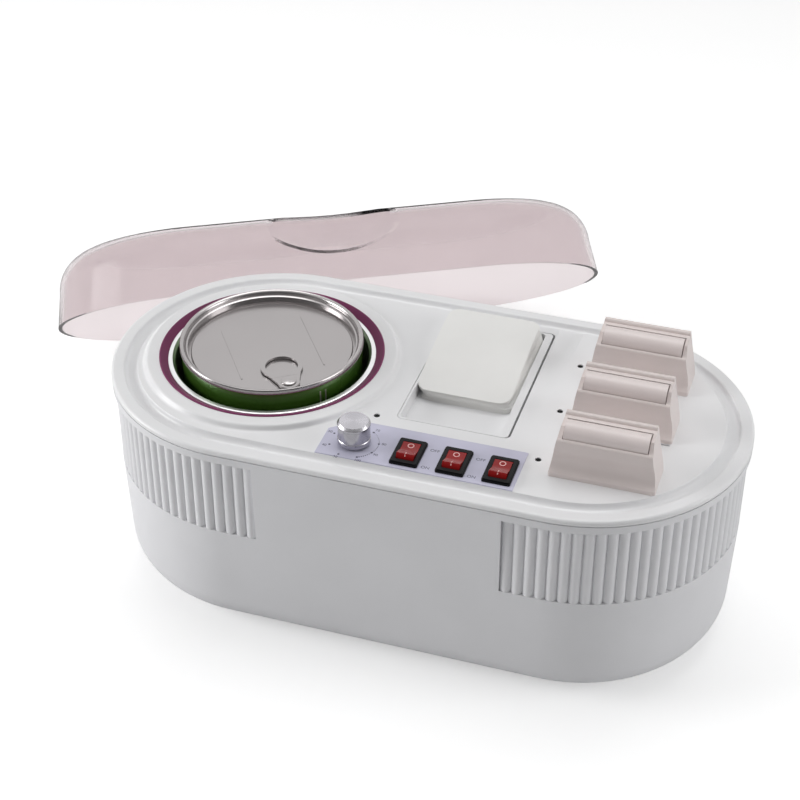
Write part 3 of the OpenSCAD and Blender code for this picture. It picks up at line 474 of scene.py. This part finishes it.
def printed_strip(piece, name, path, width, closed):
    """A stripe of ink along a path in plan, laid on the piece's top: a closed skin that sits just
    proud of it."""
    under = BVHTree.FromPolygons([v.co for v in piece.data.vertices],
                                 [p.vertices for p in piece.data.polygons])
    work = bmesh.new()
    rings = []
    last = len(path) - 1
    for k, (x, y) in enumerate(path):
        back = path[k - 1 if k or closed else 0]
        on = path[(k + 1) % len(path) if closed or k < last else k]
        along = Vector((on[0] - back[0], on[1] - back[1])).normalized()
        ring = []
        for side in (-1, 1):
            px, py = x - side * along.y * width / 2, y + side * along.x * width / 2
            hit = under.ray_cast(Vector((px, py, 1.0)), Vector((0, 0, -1)))[0]
            ring += [work.verts.new((px, py, hit.z - ink_height)),
                     work.verts.new((px, py, hit.z + ink_height))]
        rings.append(ring)
    pairs = list(zip(rings, rings[1:])) + ([(rings[-1], rings[0])] if closed else [])
    for (a, b, c, d), (e, f, g, h) in pairs:
        for corners in ((b, d, h, f), (a, e, g, c), (a, b, f, e), (c, g, h, d)):
            work.faces.new(corners)
    if not closed:
        for a, b, c, d in (rings[0], rings[-1]):
            work.faces.new((a, b, d, c))
    bmesh.ops.recalc_face_normals(work, faces=work.faces)
    return finished(work, name)


def rocker_marks(number, cap):
    """The off ring on the rear slope of a rocker and the on bar on its front slope."""
    low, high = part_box(f"rocker_{number}")
    centre = (low + high) / 2
    turns = [math.radians(12 * k) for k in range(30)]
    ring = [(centre.x + ring_radius * MM * math.cos(turn),
             centre.y + (ring_back + ring_radius * math.sin(turn)) * MM) for turn in turns]
    bar = [(centre.x, centre.y - (bar_front + bar_step * k) * MM) for k in range(7)]
    return joined(f"switch_marks_{number}", [printed_strip(cap, "off_ring", ring, ring_line, True),
                                             printed_strip(cap, "on_bar", bar, bar_line, False)])


for number in (1, 2, 3):
    cap = eased(f"rocker_{number}", f"rocker_cap_{number}", f"switch_{number}", 0.3, rocker_red)
    fitted(rocker_marks(number, cap), f"switch_{number}", mark_ink)


# ---- Pilot lights ----
# Four small lenses of smoked plastic, pressed into the deck's holes beside the dial and the
# cartridges. Each covers a light on its board and looks black while the light is off.

pilot_smoke = moulded("pilot_smoke", (0.008, 0.008, 0.009), 0.2, Specular_IOR_Level=0.1)
dress(pilot_smoke, "pilot_lenses")


# ---- Roll-on cartridges ----
# Each cartridge is a wax tank under a beige head with a wavy front, and a roller held between its
# cheeks. The heads stand on the deck over their heated bays.

cartridge_beige = moulded("cartridge_beige", (0.77, 0.69, 0.67), 0.34, grain=0.015, mottle=0.03)
roller_beige = moulded("roller_beige", (0.8, 0.715, 0.70), 0.26, grain=0.008, mottle=0.03)
for number in (1, 2, 3):
    eased(f"roller_head_{number}", f"cartridge_head_{number}", f"cartridge_{number}", 0.4,
          cartridge_beige, most_sides=200)
    eased(f"roller_{number}", f"roll_{number}_barrel", f"roll_{number}", 0.4, roller_beige)


# ---- Strip tray and strips ----
# A tray in the deck's pocket holds a pile of cut non-woven strips, pressed thin at the front and a
# little fanned, with room at the front for a finger to pick them up. The top strip lies loose.

eased("strip_tray", "tray", "housing", 0.4, deck_plastic)

strip_cloth = moulded("strip_cloth", (0.89, 0.885, 0.865), 0.85, grain=0.1, grain_size=1.1,
                      mottle=0.03, Sheen_Weight=0.2)
pile_low, pile_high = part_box("wax_strips")
strip_width, strip_length = 52.4 * MM, 70 * MM
strip_corner = 6.5 * MM
squares_across, squares_along = 12, 20
pile_front, pile_rear = 6.8 * MM, pile_high.z - pile_low.z
strip_layers = 44
fan_turn = 5.2


def strip_slab(name):
    """One cut strip with round corners, flat and 1 m thick: the rule below presses it to its layer."""
    work = bmesh.new()
    faces = []
    for level in (0, 1):
        grid = []
        for i in range(squares_across + 1):
            row = []
            for j in range(squares_along + 1):
                x = (i / squares_across - 0.5) * strip_width
                y = (j / squares_along - 0.5) * strip_length
                over_x = max(0, abs(x) - (strip_width / 2 - strip_corner))
                over_y = max(0, abs(y) - (strip_length / 2 - strip_corner))
                longest = max(over_x, over_y)
                if longest > 0:
                    pull = longest / math.hypot(over_x, over_y)
                    x -= math.copysign(over_x * (1 - pull), x)
                    y -= math.copysign(over_y * (1 - pull), y)
                row.append(work.verts.new((x, y, level)))
            grid.append(row)
        faces.append(grid)
    for i in range(squares_across):
        for j in range(squares_along):
            for level, grid in enumerate(faces):
                ring = (grid[i][j], grid[i + 1][j], grid[i + 1][j + 1], grid[i][j + 1])
                work.faces.new(ring if level else ring[::-1])
    rim = [(i, 0) for i in range(squares_across)]
    rim += [(squares_across, j) for j in range(squares_along)]
    rim += [(i, squares_along) for i in range(squares_across, 0, -1)]
    rim += [(0, j) for j in range(squares_along, 0, -1)]
    under, over = faces
    for (i, j), (k, m) in zip(rim, rim[1:] + rim[:1]):
        work.faces.new((under[i][j], under[k][m], over[k][m], over[i][j]))
    return placed(name, finished(work, name))


pile_rule = node_tree("strip_pile_rule", {
    "First layer": 0, "Layers": strip_layers, "Pile layers": float(strip_layers),
    "Front height": pile_front, "Rear height": pile_rear, "Press": 0.82,
    "Slide": 1.2 * MM, "Slack": 0.35 * MM, "Seed": 7})
given = add_node(pile_rule, "NodeGroupInput").outputs
line = add_node(pile_rule, "GeometryNodeMeshLine", Count=given["Layers"], Offset=(0, 0, 0))
index = add_node(pile_rule, "GeometryNodeInputIndex").outputs[0]
numbered = add_node(pile_rule, "GeometryNodeStoreNamedAttribute",
                    {"data_type": "FLOAT", "domain": "POINT"},
                    Geometry=line.outputs["Mesh"], Name="layer",
                    Value=maths(pile_rule, "ADD", index, given["First layer"]))
stacked = add_node(pile_rule, "GeometryNodeInstanceOnPoints", Points=numbered.outputs["Geometry"],
                   Instance=given["Geometry"])
real = add_node(pile_rule, "GeometryNodeRealizeInstances", Geometry=stacked.outputs["Instances"])

layer = add_node(pile_rule, "GeometryNodeInputNamedAttribute", {"data_type": "FLOAT"},
                 Name="layer").outputs[0]
position = add_node(pile_rule, "GeometryNodeInputPosition").outputs[0]
place = add_node(pile_rule, "ShaderNodeSeparateXYZ", Vector=position).outputs
from_front = maths(pile_rule, "ADD", place["Y"], strip_length / 2)
rear_share = maths(pile_rule, "DIVIDE", from_front, strip_length)
swell = maths(pile_rule, "SINE", maths(pile_rule, "MULTIPLY", rear_share, math.pi / 2))
rise = maths(pile_rule, "SUBTRACT", given["Rear height"], given["Front height"])
height = maths(pile_rule, "MULTIPLY_ADD", swell, rise, given["Front height"])
thickness = maths(pile_rule, "MULTIPLY_ADD", place["Z"], given["Press"], layer)
level = maths(pile_rule, "DIVIDE", thickness, given["Pile layers"])

share = maths(pile_rule, "DIVIDE", layer, given["Pile layers"])
fan = maths(pile_rule, "SINE", maths(pile_rule, "MULTIPLY", share, fan_turn))
lean = maths(pile_rule, "MULTIPLY", fan, given["Slide"])
whole_layer = maths(pile_rule, "ROUND", layer)
slips = []
for axis in (0, 1):
    slack = add_node(pile_rule, "FunctionNodeRandomValue", {"data_type": "FLOAT"}, ID=whole_layer,
                     Seed=maths(pile_rule, "ADD", given["Seed"], float(axis)),
                     _2=maths(pile_rule, "MULTIPLY", given["Slack"], -1.0), _3=given["Slack"])
    slips.append(slack.outputs[1])
laid = add_node(pile_rule, "ShaderNodeCombineXYZ",
                X=maths(pile_rule, "ADD", place["X"], maths(pile_rule, "ADD", lean, slips[0])),
                Y=maths(pile_rule, "ADD", place["Y"], slips[1]),
                Z=maths(pile_rule, "MULTIPLY", height, level))
pressed = add_node(pile_rule, "GeometryNodeSetPosition", Geometry=real.outputs["Geometry"],
                   Position=laid.outputs["Vector"])
covered = add_node(pile_rule, "GeometryNodeSetMaterial", Geometry=pressed.outputs["Geometry"],
                   Material=strip_cloth)
add_node(pile_rule, "NodeGroupOutput", Geometry=covered.outputs["Geometry"])

strip_pile = grown(strip_slab("strip_pile"), pile_rule, {"Layers": strip_layers - 1})
top_sheet = grown(strip_slab("top_strip"), pile_rule, {"First layer": strip_layers - 1, "Layers": 1})
for piece in (strip_pile, top_sheet):
    piece.data.transform(Matrix.Translation(((pile_low.x + pile_high.x) / 2,
                                             (pile_low.y + pile_high.y) / 2, pile_low.z)))
    fitted(piece, "strips", strip_cloth)
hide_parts("wax_strips")


# ---- Lid ----
# A deep cover moulded in clear plastic with a faint rose smoke, with two finger scoops in its long
# sides. It leans behind the housing with its rim on the table.

lid_smoke = moulded("lid_smoke", (0.76, 0.7, 0.71), 0.08, grain=0.002, mottle=0.01,
                    Transmission_Weight=1.0, IOR=1.12)
eased("lid", "cover_shell", "cover", 0.8, lid_smoke)


# ---- Studio ----
# A pale floor, one broad lamp overhead, a strong one on the left and a weak one on the right, and
# the camera where the photograph was taken.

def seen_directly(tree, path):
    """1 on a ray from the camera, also through the clear lid, and 0 on every other ray."""
    return add_node(tree, "ShaderNodeMath", {"operation": "ADD", "use_clamp": True},
                    _0=path.outputs["Is Camera Ray"],
                    _1=path.outputs["Is Transmission Ray"]).outputs["Value"]


bpy.ops.mesh.primitive_plane_add(size=8, location=(0, 0, cad_low.z))
floor = bpy.context.object
floor.name = "studio_floor"
floor_glow = 0.4
floor_paper = moulded("floor_paper", (0.86, 0.86, 0.86), 0.9, grain=0.0, mottle=0.0)
paper = floor_paper.node_tree
paper_shader = paper.nodes["Principled BSDF"]
paper_seen = seen_directly(paper, add_node(paper, "ShaderNodeLightPath"))
paper.links.new(maths(paper, "MULTIPLY", paper_seen, floor_glow),
                paper_shader.inputs["Emission Strength"])
paper_shader.inputs["Emission Color"].default_value = (1, 1, 1, 1)
floor.data.materials.append(floor_paper)

world = bpy.context.scene.world or bpy.data.worlds.new("studio")
bpy.context.scene.world = world
world.use_nodes = True
room = world.node_tree
background = room.nodes["Background"]
background.inputs["Color"].default_value = (1, 1, 1, 1)
path = add_node(room, "ShaderNodeLightPath")
open_view = add_node(room, "ShaderNodeMapRange", To_Min=0.18, To_Max=1.0,
                     Value=seen_directly(room, path))
# in a reflection the room is darkest towards the front, low down, and white overhead
heading = add_node(room, "ShaderNodeTexCoord")
upness = add_node(room, "ShaderNodeVectorMath", {"operation": "DOT_PRODUCT"},
                  _0=heading.outputs["Generated"], _1=(-0.15, 0.55, 0.8))
mirrored = add_node(room, "ShaderNodeMapRange", {"interpolation_type": "SMOOTHSTEP"},
                    From_Min=-0.35, From_Max=0.85, To_Min=0.1, To_Max=1.0,
                    Value=upness.outputs["Value"])
shown = add_node(room, "ShaderNodeMix", Factor=path.outputs["Is Glossy Ray"],
                 A=open_view.outputs["Result"], B=mirrored.outputs["Result"])
room.links.new(shown.outputs["Result"], background.inputs["Strength"])


def aimed(body, spot, target):
    """Stands a lamp or the camera on its spot and turns it to the target."""
    body.location = spot
    body.rotation_euler = (Vector(target) - Vector(spot)).to_track_quat("-Z", "Y").to_euler()


def lamp(name, spot, size, power):
    """A soft box that faces the wax heater."""
    light = bpy.data.lights.new(name, "AREA")
    light.shape = "RECTANGLE"
    light.size, light.size_y = size
    light.energy = power
    aimed(placed(name, light), spot, (0, 0, 0.08))


lamp("overhead", (0.0, 0.4, 1.5), (1.3, 1.0), 9.5)
lamp("left_box", (-1.6, -0.5, 0.6), (0.8, 0.8), 18)
lamp("right_box", (1.5, 0.1, 0.6), (0.8, 0.8), 8)

camera_data = bpy.data.cameras.new("camera")
camera_data.lens = 81.0
camera_data.sensor_width = 36
camera = placed("camera", camera_data)
aimed(camera, (0.2293, -0.7601, 0.6859), (-0.01447, 0.0, 0.11046))
bpy.context.scene.camera = camera

bpy.context.scene.view_settings.view_transform = "Standard"
